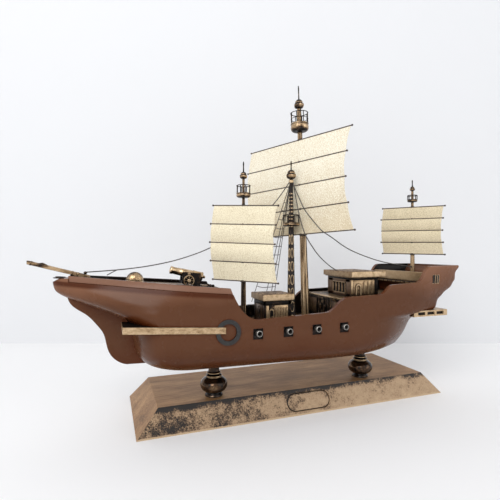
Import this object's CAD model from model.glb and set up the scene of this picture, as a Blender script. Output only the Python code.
import math
import bmesh
import bpy
from mathutils import Matrix, Vector, noise
from mathutils.bvhtree import BVHTree


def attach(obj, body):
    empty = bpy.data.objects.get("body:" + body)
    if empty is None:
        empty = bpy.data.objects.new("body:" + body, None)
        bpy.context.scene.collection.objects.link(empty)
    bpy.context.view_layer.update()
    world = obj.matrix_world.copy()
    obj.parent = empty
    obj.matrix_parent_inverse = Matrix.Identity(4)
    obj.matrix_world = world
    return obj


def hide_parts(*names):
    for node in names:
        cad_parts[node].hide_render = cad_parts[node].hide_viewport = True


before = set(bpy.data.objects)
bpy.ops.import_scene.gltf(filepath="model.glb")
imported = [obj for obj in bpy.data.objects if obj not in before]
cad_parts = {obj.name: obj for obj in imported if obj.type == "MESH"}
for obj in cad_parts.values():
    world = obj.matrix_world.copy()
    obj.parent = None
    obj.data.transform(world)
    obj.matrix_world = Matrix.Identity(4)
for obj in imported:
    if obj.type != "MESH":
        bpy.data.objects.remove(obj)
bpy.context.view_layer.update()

# ---------------------------------------------------------------- where the model is seen from
# A still-life table: one camera low off the port bow, level with the decks, with a moderate
# wide-angle lens. The colours are shown as they are, with no film curve.
EYE = Vector((-0.1869, -0.3916, 0.1593))
EYE_TURN, EYE_TILT, LENS, FILM = 20.04, 0.18, 27.93, 36.0
eye = bpy.data.objects.new("eye", bpy.data.cameras.new("eye"))
eye.data.lens = LENS
eye.data.sensor_width = FILM
eye.data.clip_start = 0.01
eye.location = EYE
eye.rotation_euler = (math.radians(90 + EYE_TILT), 0, math.radians(-EYE_TURN))
bpy.context.scene.collection.objects.link(eye)
bpy.context.scene.camera = eye
bpy.context.scene.view_settings.view_transform = "Standard"

# ---------------------------------------------------------------- the room
# A pale matt floor and a pale wall close behind the stand, under a soft window light from the
# left and a weaker fill from the right. To the camera the open sky is plain white, and the wall
# is seen only from the ship's side, so that the ship can be looked at from behind it too.
FLOOR_TONE, WALL_TONE = (0.95, 0.945, 0.94), (0.8, 0.805, 0.815)
SKY_TONE, SKY_POWER = (0.93, 0.95, 1.0), 0.52
WALL_AWAY, WALL_HIGH, ROOM = 0.672, 3.0, 4.0
LAMPS = (("window", (-1.0, -1.1, 1.2), 1.1, 20), ("fill", (1.3, -1.4, 0.7), 1.2, 6))
LIT_POINT = Vector((0, 0, 0.14))


def shader(name, roughness=0.5, metallic=0.0):
    """A new material, with its node tree and its main shader."""
    material = bpy.data.materials.new(name)
    material.use_nodes = True
    tree = material.node_tree
    main = tree.nodes["Principled BSDF"]
    main.inputs["Roughness"].default_value = roughness
    main.inputs["Metallic"].default_value = metallic
    return material, tree, main


def add(tree, kind, links=None, **values):
    """A shader node with its settings, unlinked inputs and incoming links filled in."""
    made = tree.nodes.new("ShaderNode" + kind)
    for word, value in values.items():
        if hasattr(made, word):
            setattr(made, word, value)
        else:
            made.inputs[word.replace("_", " ")].default_value = value
    for key, source in (links or {}).items():
        tree.links.new(source, made.inputs[key])
    return made


def sums(tree, operation, first, second=0):
    """One step of arithmetic; either side is a number or another node's output."""
    made = add(tree, "Math", operation=operation)
    for socket, value in zip(made.inputs, (first, second)):
        if isinstance(value, (int, float)):
            socket.default_value = value
        else:
            tree.links.new(value, socket)
    return made.outputs[0]


turn = math.radians(EYE_TURN)
middle = EYE + Vector((math.sin(turn), math.cos(turn), 0)) * WALL_AWAY
aside = Vector((math.cos(turn), -math.sin(turn), 0)) * ROOM
left, right, up = middle - aside, middle + aside, Vector((0, 0, WALL_HIGH))
left.z = right.z = 0
for name, tone, corners in (("floor", FLOOR_TONE, [(-ROOM, -ROOM, 0), (ROOM, -ROOM, 0), (ROOM, ROOM, 0),
                                                   (-ROOM, ROOM, 0)]),
                            ("wall", WALL_TONE, [left, right, right + up, left + up])):
    sheet = bpy.data.meshes.new(name)
    sheet.from_pydata(corners, [], [(0, 1, 2, 3)])
    surface = bpy.data.objects.new(name, sheet)
    bpy.context.scene.collection.objects.link(surface)
    paper, tree, main = shader(name + "_paper", 0.9)
    main.inputs["Base Color"].default_value = (*tone, 1)
    main.inputs["Specular IOR Level"].default_value = 0.1
    if name == "wall":
        behind = sums(tree, "MULTIPLY", add(tree, "NewGeometry").outputs["Backfacing"],
                      add(tree, "LightPath").outputs["Is Camera Ray"])
        clear = add(tree, "BsdfTransparent")
        mix = add(tree, "MixShader", {0: behind, 1: main.outputs[0], 2: clear.outputs[0]})
        tree.links.new(mix.outputs[0], tree.nodes["Material Output"].inputs[0])
    surface.data.materials.append(paper)
world = bpy.data.worlds.new("room")
world.use_nodes = True
tree = world.node_tree
sky = tree.nodes["Background"]
sky.inputs[0].default_value = (*SKY_TONE, 1)
sky.inputs[1].default_value = SKY_POWER
plain = add(tree, "Background", Color=(1, 1, 1, 1), Strength=1.0)
path = add(tree, "LightPath")
seen = sums(tree, "MAXIMUM", path.outputs["Is Camera Ray"], path.outputs["Is Transmission Ray"])
seen = sums(tree, "MAXIMUM", seen, path.outputs["Is Glossy Ray"])
mix = add(tree, "MixShader", {0: seen, 1: sky.outputs[0], 2: plain.outputs[0]})
tree.links.new(mix.outputs[0], tree.nodes["World Output"].inputs[0])
bpy.context.scene.world = world
for name, place, size, power in LAMPS:
    lamp = bpy.data.objects.new(name, bpy.data.lights.new(name, "AREA"))
    lamp.data.shape = "SQUARE"
    lamp.data.size = size
    lamp.data.energy = power
    lamp.location = place
    lamp.rotation_euler = (LIT_POINT - Vector(place)).to_track_quat("-Z", "Y").to_euler()
    bpy.context.scene.collection.objects.link(lamp)

# ---------------------------------------------------------------- hull, rail and cutwater
# A hollow moulded hull in satin chocolate lacquer, black inboard, with its forecastle rail and
# thin cutwater glued on. The lacquer rounds its edges and pools warm brown in the creases.
SHIP_SIDE = -30.5
HIGH_TONE, SIDE_TONE, LOW_TONE = (138, 97, 74), (90, 56, 36), (80, 40, 18)
RAIL_TONE, CREASE_TONE, POOL_TONE, INBOARD_TONE = (128, 94, 76), (88, 40, 14), (70, 30, 8), (22, 15, 12)
BELLY_UP, QUARTER_UP, INBOARD_UP, TOP_EDGE_UP = 0.052, 0.15, 0.086, 0.09
RAIL_FOOT, RAIL_FALL, RAIL_END, POOL_DEEP, POOL_FADE = 0.11408, 0.09, -0.0865, 0.0048, 0.9
WELD, FLAT, SHARP = 2e-6, 0.6, 32.0


def put(piece, body, slot, *nodes):
    """Hang a finished piece on its body, with its material slot and the solids it stands for."""
    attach(piece, body)
    if nodes:
        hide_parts(*nodes)
    return piece


def srgb(red, green, blue):
    """A colour given as the eye reads it, 0 to 255, turned to linear light."""
    return tuple(((c / 255 + 0.055) / 1.055) ** 2.4 if c > 10 else c / 3294 for c in (red, green, blue))


def ramp(tree, factor, *stops):
    """A colour ramp driven by factor; each stop is a position and a colour for the eye."""
    made = add(tree, "ValToRGB", {0: factor})
    while len(made.color_ramp.elements) < len(stops):
        made.color_ramp.elements.new(0.5)
    for element, (position, colour) in zip(made.color_ramp.elements, stops):
        element.position = position
        element.color = (*srgb(*colour), 1)
    return made.outputs[0]


def tint(tree, tone, amount, colour):
    """Lay one plain colour over a tone by an amount from 0 to 1."""
    made = add(tree, "Mix", {0: amount, 6: tone}, data_type="RGBA")
    made.inputs[7].default_value = (*srgb(*colour), 1)
    return made.outputs[2]


def span(tree, value, start, end):
    """How far value has come from start to end: 0 before, 1 past it."""
    return add(tree, "MapRange", {"Value": value}, From_Min=start, From_Max=end).outputs[0]


def cloud(tree, scale, detail=4.0, rough=0.55, stretch=(1, 1, 1)):
    """Cloudy noise in the piece's own coordinates, scale in waves per metre."""
    place = add(tree, "TexCoord")
    mapping = add(tree, "Mapping", {0: place.outputs["Object"]}, Scale=stretch)
    made = add(tree, "TexNoise", {"Vector": mapping.outputs[0]}, Scale=scale, Detail=detail,
               Roughness=rough)
    return made.outputs["Fac"]


def bump(tree, main, height, strength, depth):
    """Raise the surface by a height pattern; depth is in metres."""
    made = add(tree, "Bump", {"Height": height}, Strength=strength, Distance=depth)
    tree.links.new(made.outputs[0], main.inputs["Normal"])


def clean_copy(node):
    """A copy of a solid's mesh with its triangles joined back to plain faces."""
    mesh = bmesh.new()
    mesh.from_mesh(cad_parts[node].data)
    bmesh.ops.remove_doubles(mesh, verts=mesh.verts, dist=WELD)
    bmesh.ops.dissolve_limit(mesh, angle_limit=math.radians(FLAT), verts=mesh.verts, edges=mesh.edges,
                             delimit=set())
    return mesh


def piece_of(name, mesh, material, smooth=35.0):
    """Turn a bmesh into an object; edges sharper than smooth degrees stay sharp."""
    data = bpy.data.meshes.new(name)
    bmesh.ops.recalc_face_normals(mesh, faces=mesh.faces)
    mesh.to_mesh(data)
    mesh.free()
    data.shade_smooth()
    data.set_sharp_from_angle(angle=math.radians(smooth))
    made = bpy.data.objects.new(name, data)
    bpy.context.scene.collection.objects.link(made)
    made.data.materials.append(material)
    return made


def rounded(piece, width, segments=2):
    """Round off a piece's sharp edges by width millimetres."""
    bevel = piece.modifiers.new("rounding", "BEVEL")
    bevel.width = width / 1000
    bevel.segments = segments
    bevel.limit_method = "ANGLE"
    bevel.angle_limit = math.radians(SHARP)
    bevel.harden_normals = False
    return piece


def dress(node, material, body="root", slot="hull_paint", width=0.5, segments=2):
    """Stand in for a solid with a copy whose edges are rounded."""
    piece = piece_of(node + "_dressed", clean_copy(node), material)
    return put(rounded(piece, width, segments), body, slot, node)


def placed(name, mesh, material, slot, *nodes, body="root", smooth=35.0):
    """Make a piece from a bmesh and hang it on its body with its slot and the solids it replaces."""
    return put(piece_of(name, mesh, material, smooth), body, slot, *nodes)


def lacquer_coat(name, high, side, low):
    """Satin lacquer: black inboard, orange brown in creases, on top edges and under the rail."""
    material, tree, main = shader(name, 0.5)
    place = add(tree, "SeparateXYZ", {0: add(tree, "TexCoord").outputs["Object"]}).outputs
    facing = add(tree, "SeparateXYZ", {0: add(tree, "NewGeometry").outputs["Normal"]}).outputs
    wander = sums(tree, "MULTIPLY", sums(tree, "SUBTRACT", cloud(tree, 14, 2), 0.5), 0.35)
    tone = ramp(tree, sums(tree, "ADD", span(tree, place["Z"], BELLY_UP, QUARTER_UP), wander),
                (0.0, low), (0.3, side), (0.62, side), (1.0, high))
    near = add(tree, "AmbientOcclusion", samples=6, Distance=0.012)
    edged = sums(tree, "MULTIPLY", sums(tree, "MULTIPLY", span(tree, facing["Z"], 0.55, 0.8), 0.6),
                 sums(tree, "GREATER_THAN", place["Z"], TOP_EDGE_UP))
    warm = sums(tree, "MAXIMUM", span(tree, near.outputs["AO"], 0.92, 0.3), edged)
    foot = sums(tree, "SUBTRACT", RAIL_FOOT, sums(tree, "MULTIPLY", place["X"], RAIL_FALL))
    below = sums(tree, "SUBTRACT", foot, place["Z"])
    strip = sums(tree, "MULTIPLY", span(tree, below, -0.0008, 0.0004),
                 span(tree, below, POOL_DEEP, POOL_DEEP * 0.55))
    forward = sums(tree, "LESS_THAN", place["X"], RAIL_END)
    pooled = sums(tree, "MULTIPLY", strip, sums(tree, "MULTIPLY", forward, POOL_FADE))
    port_side = sums(tree, "SIGN", sums(tree, "SUBTRACT", place["Y"], SHIP_SIDE / 1000))
    outboard = sums(tree, "MULTIPLY", facing["Y"], port_side)
    tarred = sums(tree, "MULTIPLY", span(tree, outboard, -0.15, -0.4),
                  sums(tree, "GREATER_THAN", place["Z"], INBOARD_UP))
    for amount, colour in ((warm, CREASE_TONE), (pooled, POOL_TONE), (tarred, INBOARD_TONE)):
        tone = tint(tree, tone, amount, colour)
    tree.links.new(tone, main.inputs["Base Color"])
    tree.links.new(ramp(tree, cloud(tree, 60, 3), (0.3, (128, 128, 128)), (0.7, (150, 150, 150))),
                   main.inputs["Roughness"])
    main.inputs["Specular IOR Level"].default_value = 0.14
    bump(tree, main, cloud(tree, 900, 3), 0.06, 0.0002)
    return material


hull_lacquer = lacquer_coat("hull_lacquer", HIGH_TONE, SIDE_TONE, LOW_TONE)
rail_lacquer = lacquer_coat("rail_lacquer", RAIL_TONE, RAIL_TONE, RAIL_TONE)
dress("hull", hull_lacquer, width=0.45)
dress("cutwater", hull_lacquer, width=0.9, segments=3)
dress("forecastle_rail", rail_lacquer, slot="rail_paint", width=0.7, segments=3)

# ---------------------------------------------------------------- decks
# Thin plates let in between the bulwarks and scored into planks: antique bronze on the
# forecastle and in the waist, rubbed tan on the half deck and poop, darker along the edges.
BLACK_WAX, BROWN_WAX = (18, 14, 12), (84, 61, 42)
WORN_GOLD, BRIGHT_GOLD = (158, 130, 96), (210, 183, 147)
PLANK_SCORES = 45.0


def patina(name, wear, scale=170.0, stretch=(1, 1, 1), rough=0.42, planks=0.0, reach=0.0025, top=0.0,
           under=0.0, aft=0.0, even=0.0, fore=0.0, metal=0.72):
    """Antique brass under black wax: bright where wear is high, dark in corners.

    Top, under and aft say how much darker the faces turned that way are, and fore how brown the
    ones towards the bow are. A high even calms the mottling, and one below 0 makes it stronger.
    """
    material, tree, main = shader(name, rough, metal)
    broad = cloud(tree, scale, 9, 0.72, stretch)
    fine = cloud(tree, scale * 7, 5, 0.6)
    rubbed = sums(tree, "ADD", sums(tree, "MULTIPLY", broad, 0.7), sums(tree, "MULTIPLY", fine, 0.3))
    rubbed = sums(tree, "ADD", sums(tree, "MULTIPLY", rubbed, 1.0 - even), 0.5 * even)
    near = add(tree, "AmbientOcclusion", samples=6, Distance=reach)
    hidden = sums(tree, "MULTIPLY", span(tree, near.outputs["AO"], 0.95, 0.35), 0.4)
    level = sums(tree, "SUBTRACT", sums(tree, "ADD", rubbed, wear - 0.5), hidden)
    facing = add(tree, "SeparateXYZ", {0: add(tree, "NewGeometry").outputs["Normal"]}).outputs
    for axis, way, amount in (("Z", 1.0, top), ("Z", -1.0, under), ("X", 1.0, aft)):
        if amount:
            turned_to = sums(tree, "MAXIMUM", sums(tree, "MULTIPLY", facing[axis], way), 0.0)
            level = sums(tree, "SUBTRACT", level, sums(tree, "MULTIPLY", turned_to, amount))
    if planks:
        score = add(tree, "TexWave", {"Vector": add(tree, "TexCoord").outputs["Object"]},
                    wave_type="BANDS", bands_direction="Y", Scale=planks)
        seam = span(tree, score.outputs["Fac"], 0.12, 0.0)
        level = sums(tree, "SUBTRACT", level, sums(tree, "MULTIPLY", seam, 0.3))
    tone = ramp(tree, level, (0.4, BLACK_WAX), (0.46, BROWN_WAX), (0.53, WORN_GOLD), (0.7, BRIGHT_GOLD))
    if fore:
        forward = sums(tree, "MAXIMUM", sums(tree, "MULTIPLY", facing["X"], -fore), 0.0)
        tone = tint(tree, tone, forward, BROWN_WAX)
    tree.links.new(tone, main.inputs["Base Color"])
    dull = add(tree, "MapRange", {"Value": level}, From_Min=0.35, From_Max=0.6, To_Min=rough + 0.1,
               To_Max=rough - 0.1)
    tree.links.new(dull.outputs[0], main.inputs["Roughness"])
    bump(tree, main, level, 0.4, 0.0003)
    return material


deck_bronze = patina("deck_bronze", 0.5, 90, (0.3, 1, 1), planks=PLANK_SCORES, reach=0.01)
tan_deck = patina("tan_deck", 0.5, 60, (0.3, 1, 1), planks=PLANK_SCORES, reach=0.012, even=0.55)
for node, finish, width in (("forecastle_deck", deck_bronze, 0.3), ("main_deck", deck_bronze, 0.2),
                            ("half_deck", tan_deck, 0.3), ("poop_deck", tan_deck, 0.3)):
    dress(node, finish, slot="deck_paint", width=width)

# ---------------------------------------------------------------- stand
# A heavy bevelled plinth of stained wood, with a small bare brass nameplate let into its long
# side. Its top is rubbed tan with a fine lengthwise grain; the long bevels keep black wax.
TOP_DARK, TOP_MID, TOP_LIGHT = (88, 62, 38), (152, 114, 76), (204, 166, 120)
PATCH_DARK, PATCH_BROWN = (24, 19, 16), (96, 74, 54)
PATCH_TAN, PATCH_LIGHT = (150, 124, 96), (178, 153, 122)
WAXED_TO_BARE, UPPER_EDGE, LOWER_RIM = (-0.15, 0.06), (0.0165, 0.0215), (0.0016, 0.0004)


def stand_finish(name, facing=None):
    """Grained tan on top and ends, mottled on the long bevels; with facing, black on other faces."""
    material, tree, main = shader(name, 0.5, 0.35)
    grain = cloud(tree, 800, 6, 0.7, (0.05, 1, 1))
    specks = cloud(tree, 1500, 4, 0.6)
    broad = cloud(tree, 60, 5, 0.65, (0.3, 1, 1))
    fine = sums(tree, "ADD", sums(tree, "MULTIPLY", grain, 0.4), sums(tree, "MULTIPLY", specks, 0.25))
    fine = sums(tree, "ADD", fine, sums(tree, "MULTIPLY", broad, 0.35))
    plain = ramp(tree, fine, (0.36, TOP_DARK), (0.5, TOP_MID), (0.66, TOP_LIGHT))
    place = add(tree, "SeparateXYZ", {0: add(tree, "TexCoord").outputs["Object"]}).outputs
    worn = sums(tree, "ADD", sums(tree, "MULTIPLY", cloud(tree, 70, 12, 0.8), 0.6),
                sums(tree, "MULTIPLY", cloud(tree, 900, 6, 0.75), 0.4))
    for operation, part, amount in (("ADD", span(tree, place["X"], *WAXED_TO_BARE), 0.09),
                                    ("SUBTRACT", span(tree, place["Z"], *UPPER_EDGE), 0.13),
                                    ("ADD", span(tree, place["Z"], *LOWER_RIM), 0.3)):
        worn = sums(tree, operation, worn, sums(tree, "MULTIPLY", part, amount))
    mottled = ramp(tree, worn, (0.47, PATCH_DARK), (0.51, PATCH_BROWN), (0.54, PATCH_TAN),
                   (0.7, PATCH_LIGHT))
    normal = add(tree, "SeparateXYZ", {0: add(tree, "NewGeometry").outputs["True Normal"]})
    side_on = span(tree, sums(tree, "ABSOLUTE", normal.outputs["Y"]), 0.5, 0.7)
    tone = add(tree, "Mix", {0: side_on, 6: plain, 7: mottled}, data_type="RGBA").outputs[2]
    if facing:
        along = add(tree, "VectorMath", {0: add(tree, "NewGeometry").outputs["Normal"]},
                    operation="DOT_PRODUCT")
        along.inputs[1].default_value = facing
        waxed = span(tree, sums(tree, "ABSOLUTE", along.outputs["Value"]), 0.99, 0.93)
        tone = tint(tree, tone, waxed, BLACK_WAX)
    tree.links.new(tone, main.inputs["Base Color"])
    bump(tree, main, fine, 0.3, 0.0003)
    return material


dress("stand_base", stand_finish("stand_finish"), slot="stand_wood", width=0.8, segments=3)
front = max(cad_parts["nameplate"].data.polygons, key=lambda face: face.area).normal
dress("nameplate", stand_finish("plate_finish", tuple(front)), slot="stand_plate", width=0.9,
      segments=3)

# ---------------------------------------------------------------- pedestals
# Two turned brass pedestals: a foot, a squat ball, two beads and a plain neck, waxed almost
# black and rubbed bright on the crests. A steel bolt runs up through each into the hull.
PEDESTAL_X = (-92.0, 74.0)
PEDESTAL = ((0.0, 22.0), (8.3, 22.0), (8.6, 22.4), (8.4, 23.4), (7.2, 24.4), (6.9, 25.2), (8.6, 26.0),
            (11.2, 28.0), (12.6, 30.4), (13.0, 32.6), (12.8, 34.6), (11.6, 36.8), (9.6, 38.6),
            (7.4, 39.6), (6.9, 40.0), (7.5, 40.5), (7.6, 41.2), (7.1, 41.9), (5.9, 42.3), (6.4, 42.9),
            (6.6, 43.7), (6.3, 44.5), (5.4, 45.1), (5.1, 47.0), (5.2, 51.4), (0.0, 51.4))
BANDS, BAND_THICK = ((6.95, 40.05), (7.2, 41.0), (6.35, 43.7)), 0.5


def spot(x, side, height, tilt=0.0, axis="Y"):
    """A place on the ship that takes millimetres, tilted by degrees about one axis."""
    turn = Matrix.Rotation(math.radians(tilt), 4, axis)
    return Matrix.Scale(0.001, 4) @ Matrix.Translation((x, SHIP_SIDE + side, height)) @ turn


def band(mesh, one, two):
    """Join two loops of as many corners with a band of faces."""
    for a in range(len(one)):
        b = (a + 1) % len(one)
        mesh.faces.new((one[a], one[b], two[b], two[a]))


def turned(mesh, place, profile, steps=40, ring=False, flutes=0, depth=0.0):
    """Spin a profile of radius and height round the Z of its place; a ring has no middle."""
    rows = []
    for radius, height in profile:
        row = []
        for number in range(steps):
            angle = 2 * math.pi * number / steps
            reach = max(radius * (1 - depth * (0.5 - 0.5 * math.cos(flutes * angle))), 0.02)
            row.append(mesh.verts.new(place @ Vector((reach * math.cos(angle), reach * math.sin(angle),
                                                      height))))
        rows.append(row)
    for low, high in zip(rows, rows[1:] + rows[:1] if ring else rows[1:]):
        band(mesh, low, high)
    if not ring:
        mesh.faces.new(rows[0][::-1])
        mesh.faces.new(rows[-1])


def cloudy(name, roughness, metallic, patches, dark, light, grit):
    """Two tones in cloudy patches; dark and light are ramp stops, and grit is a fine bump."""
    material, tree, main = shader(name, roughness, metallic)
    tree.links.new(ramp(tree, cloud(tree, *patches), dark, light), main.inputs["Base Color"])
    bump(tree, main, cloud(tree, *grit[:2]), *grit[2:])
    return material


ball_bronze = patina("ball_bronze", 0.438, 60, rough=0.17, even=0.4)
band_brass = patina("band_brass", 0.62, 200, rough=0.3, reach=0.001)
for word, x in zip(("front", "rear"), PEDESTAL_X):
    mesh = bmesh.new()
    turned(mesh, spot(x, 0, 0), PEDESTAL, steps=64)
    placed(word + "_turned", mesh, ball_bronze, "antique_brass", word + "_pedestal", smooth=40)
    mesh = bmesh.new()
    for radius, height in BANDS:
        turned(mesh, spot(x, 0, height), [(radius + BAND_THICK * math.cos(n * math.pi / 4),
                                           BAND_THICK * math.sin(n * math.pi / 4)) for n in range(8)],
               64, True)
    placed(word + "_bands", mesh, band_brass, "antique_brass", smooth=60)
steel = cloudy("bolt_steel", 0.35, 0.9, (700, 5), (0.3, (120, 122, 126)), (0.7, (168, 170, 174)),
               (1200, 3, 0.2, 0.0001))
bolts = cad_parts["pedestal_bolts"]
bolts.data.materials.clear()
bolts.data.materials.append(steel)

# ---------------------------------------------------------------- gun ports
# Four square ports a side, lined in black, each with a short steel gun tube glued into the
# middle of its back. The tube's rim is rubbed bright.
PORTS, PORT_FIRST, PORT_PITCH, PORT_UP = 4, -63.9, 29.2, 86.9
PORT_HALF, PORT_FLOOR, LINING = 4.7, 41.5, 0.2
PORT_BACK, LINING_END = 41.55, 44.6
TUBE_OUT, TUBE_IN, TUBE_END, TUBE_LIFT = 2.6, 1.7, 49.2, 0.8


def bar(mesh, place, low, high, round_by, segments=2):
    """A block between two corners of its own frame, with rounded edges."""
    size = [b - a for a, b in zip(low, high)]
    middle = [(a + b) / 2 for a, b in zip(low, high)]
    made = bmesh.ops.create_cube(mesh, size=1, matrix=place @ Matrix.Translation(middle)
                                 @ Matrix.Diagonal((*size, 1)))
    edges = list(dict.fromkeys(edge for vert in made["verts"] for edge in vert.link_edges))
    if round_by:
        bmesh.ops.bevel(mesh, geom=edges, offset=round_by / 1000, segments=segments, profile=0.5,
                        affect="EDGES", clamp_overlap=True)


soot = cloudy("soot_black", 0.8, 0.0, (300, 4), (0.35, (12, 10, 9)), (0.8, (48, 30, 22)),
              (900, 3, 0.3, 0.0002))
gunmetal, tree, main = shader("gun_steel", 0.36, 0.85)
depth_in = add(tree, "AmbientOcclusion", samples=6, Distance=0.003)
tree.links.new(ramp(tree, depth_in.outputs["AO"], (0.3, (14, 13, 13)), (0.6, (84, 80, 76)),
                    (0.95, (158, 154, 148))), main.inputs["Base Color"])
bump(tree, main, cloud(tree, 1400, 3), 0.2, 0.0001)
linings = bmesh.new()
for word, way in (("port", -1), ("starboard", 1)):
    tubes = bmesh.new()
    for number in range(PORTS):
        x = PORT_FIRST + number * PORT_PITCH
        tube = spot(x, 0, PORT_UP + TUBE_LIFT, 90 * -way, "X")
        turned(tubes, tube, ((TUBE_IN, PORT_FLOOR + 1.0), (TUBE_OUT, PORT_FLOOR + 0.3),
                             (TUBE_OUT, TUBE_END - 1.6), (TUBE_OUT - 0.25, TUBE_END - 1.3),
                             (TUBE_OUT + 0.15, TUBE_END - 0.9), (TUBE_OUT + 0.15, TUBE_END - 0.2),
                             (TUBE_OUT - 0.1, TUBE_END), (TUBE_OUT - 0.4, TUBE_END),
                             (TUBE_IN, TUBE_END - 1.2)), steps=32, ring=True)
        turned(tubes, tube, ((0, PORT_FLOOR + 1.0), (TUBE_IN + 0.2, PORT_FLOOR + 1.0),
                             (TUBE_IN + 0.2, PORT_FLOOR + 2.0), (0, PORT_FLOOR + 2.0)), steps=24)
        back = sorted((way * PORT_BACK, way * (PORT_BACK + LINING)))
        walls = sorted((way * PORT_BACK, way * LINING_END))
        ship = spot(x, 0, PORT_UP)
        bar(linings, ship, (-PORT_HALF, back[0], -PORT_HALF), (PORT_HALF, back[1], PORT_HALF), 0)
        for low, high in (((-PORT_HALF, -PORT_HALF), (LINING - PORT_HALF, PORT_HALF)),
                          ((PORT_HALF - LINING, -PORT_HALF), (PORT_HALF, PORT_HALF)),
                          ((-PORT_HALF, -PORT_HALF), (PORT_HALF, LINING - PORT_HALF)),
                          ((-PORT_HALF, PORT_HALF - LINING), (PORT_HALF, PORT_HALF))):
            bar(linings, ship, (low[0], walls[0], low[1]), (high[0], walls[1], high[1]), 0)
    placed(word + "_gun_tubes", tubes, gunmetal, "gun_steel", word + "_guns")
placed("port_linings", linings, soot, "dark_bronze")

# ---------------------------------------------------------------- side rings and bow shelves
# On each side a slate-grey moulded ring is let into the hull, and a brass shelf runs forward
# from it past the stem. The shelf is rubbed bright on its edge and black on top.
slate = cloudy("slate_moulding", 0.4, 0.2, (500, 5), (0.3, (25, 24, 24)), (0.7, (46, 44, 42)),
               (900, 4, 0.3, 0.0002))
shelf_brass = patina("shelf_brass", 0.6, 420, (0.5, 1, 1), top=0.4)
for word in ("port", "starboard"):
    dress(word + "_ring", slate, slot="gunmetal", width=0.9, segments=3)
    dress(word + "_shelf", shelf_brass, slot="antique_brass", width=0.45)

# ---------------------------------------------------------------- stern gallery and windows
# Cast brass frames glued to the hull, with black openings: the gallery under the counter and
# one barred window on each quarter.
WINDOW_PANE = [(133.7, 143.2, 125.7, 133.9)]
WINDOW_BARS = [(x - 0.35, x + 0.35, 125.45, 133.95) for x in (136.9, 140.1)]
GALLERY_SLOTS = [(x - 9.4, x, 92.15, 95.05) for x in (151.95, 139.45, 126.95)]
CLEAR = 60


def laid_on(mesh, node, slots, sunk, proud):
    """Thin plates laid on a solid's outer skin on both sides of the ship, from sunk to proud."""
    solid = clean_copy(node)
    shape = BVHTree.FromBMesh(solid)
    solid.free()
    for way in (-1, 1):
        for left, right, low, high in slots:
            rings = [[], []]
            for x, z in ((left, low), (right, low), (right, high), (left, high)):
                outside = Vector((x, SHIP_SIDE + way * CLEAR, z)) / 1000
                skin = shape.ray_cast(outside, Vector((0, -way, 0)))[0]
                for ring, out in zip(rings, (sunk, proud)):
                    ring.append(mesh.verts.new(skin + Vector((0, way * out / 1000, 0))))
            mesh.faces.new(rings[0])
            mesh.faces.new(rings[1][::-1])
            band(mesh, rings[1], rings[0])


frame_brass = patina("frame_brass", 0.62, 220, top=0.06, reach=0.0012, even=0.3)
dress("stern_gallery", frame_brass, slot="antique_brass", width=0.2)
dress("stern_windows", frame_brass, slot="dark_bronze", width=0.08)
mesh = bmesh.new()
laid_on(mesh, "stern_windows", WINDOW_PANE, -0.1, 0.35)
laid_on(mesh, "stern_gallery", GALLERY_SLOTS, 0.02, 0.17)
placed("stern_dark_panes", mesh, soot, "dark_bronze")
mesh = bmesh.new()
laid_on(mesh, "stern_windows", WINDOW_BARS, 0.0, 0.8)
placed("stern_window_bars", mesh, band_brass, "dark_bronze")

# ---------------------------------------------------------------- bulkhead and poop parapet
# The cast bulkhead under the half deck has upright frames, brown panels and two small lanterns,
# and the deck ends over it in a bright brass lip. The poop's parapet is a wide rubbed board.
BULKHEAD_X, BULKHEAD_LOW, BULKHEAD_HIGH, BULKHEAD_HALF = 28.6, 88.6, 110.9, 38.0
FRAMES = (-36.6, -14.2, -9.2, 0.0, 9.2, 14.2, 36.6)
LANTERNS, LANTERN_UP = (-4.6, 4.6), 9.0
LANTERN = ((0, 0), (0.9, 0.2), (1.3, 1.0), (1.3, 3.6), (1.6, 3.9), (0.7, 4.8), (0.3, 5.6), (0, 5.7))
PANEL_IN, PANEL_OUT = 15.4, 35.6
DECK_EDGE, LIP_LOW, LIP_HIGH = 0.0292, 0.15, 1.95
mesh = clean_copy("half_deck_bulkhead")
ship = spot(BULKHEAD_X, 0, 0)
for side in FRAMES:
    bar(mesh, ship, (-0.9, side - 0.8, BULKHEAD_LOW), (0.3, side + 0.8, BULKHEAD_HIGH), 0.2)
bar(mesh, ship, (-0.7, -BULKHEAD_HALF, BULKHEAD_HIGH - 2.4),
    (0.3, BULKHEAD_HALF, BULKHEAD_HIGH - 0.2), 0.2)
for side in LANTERNS:
    turned(mesh, spot(BULKHEAD_X - 1.6, side, BULKHEAD_LOW + LANTERN_UP), LANTERN, steps=12)
dark_bronze = patina("dark_bronze", 0.43)
placed("bulkhead_frames", mesh, dark_bronze, "dark_bronze", "half_deck_bulkhead")
mesh = bmesh.new()
for side in (-PANEL_OUT, PANEL_IN):
    bar(mesh, ship, (-0.6, side, BULKHEAD_LOW + 0.2),
        (0.2, side + PANEL_OUT - PANEL_IN, BULKHEAD_HIGH - 2.6), 0.2)
panel_brown = patina("panel_brown", 0.475, 70, reach=0.006, even=0.75)
placed("bulkhead_panels", mesh, panel_brown, "dark_bronze")
edge = [vert.co.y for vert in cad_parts["half_deck"].data.vertices if vert.co.x < DECK_EDGE]
lip = [side * 1000 - SHIP_SIDE for side in (min(edge), max(edge))]
mesh = bmesh.new()
bar(mesh, ship, (-0.75, lip[0] + 0.3, BULKHEAD_HIGH + LIP_LOW),
    (0.15, lip[1] - 0.3, BULKHEAD_HIGH + LIP_HIGH), 0.3)
placed("half_deck_lip", mesh, band_brass, "deck_paint")
board = patina("rubbed_board", 0.57, 90, (1, 0.4, 1), even=0.55)
dress("poop_parapet", board, slot="deck_paint", width=0.4)

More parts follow.
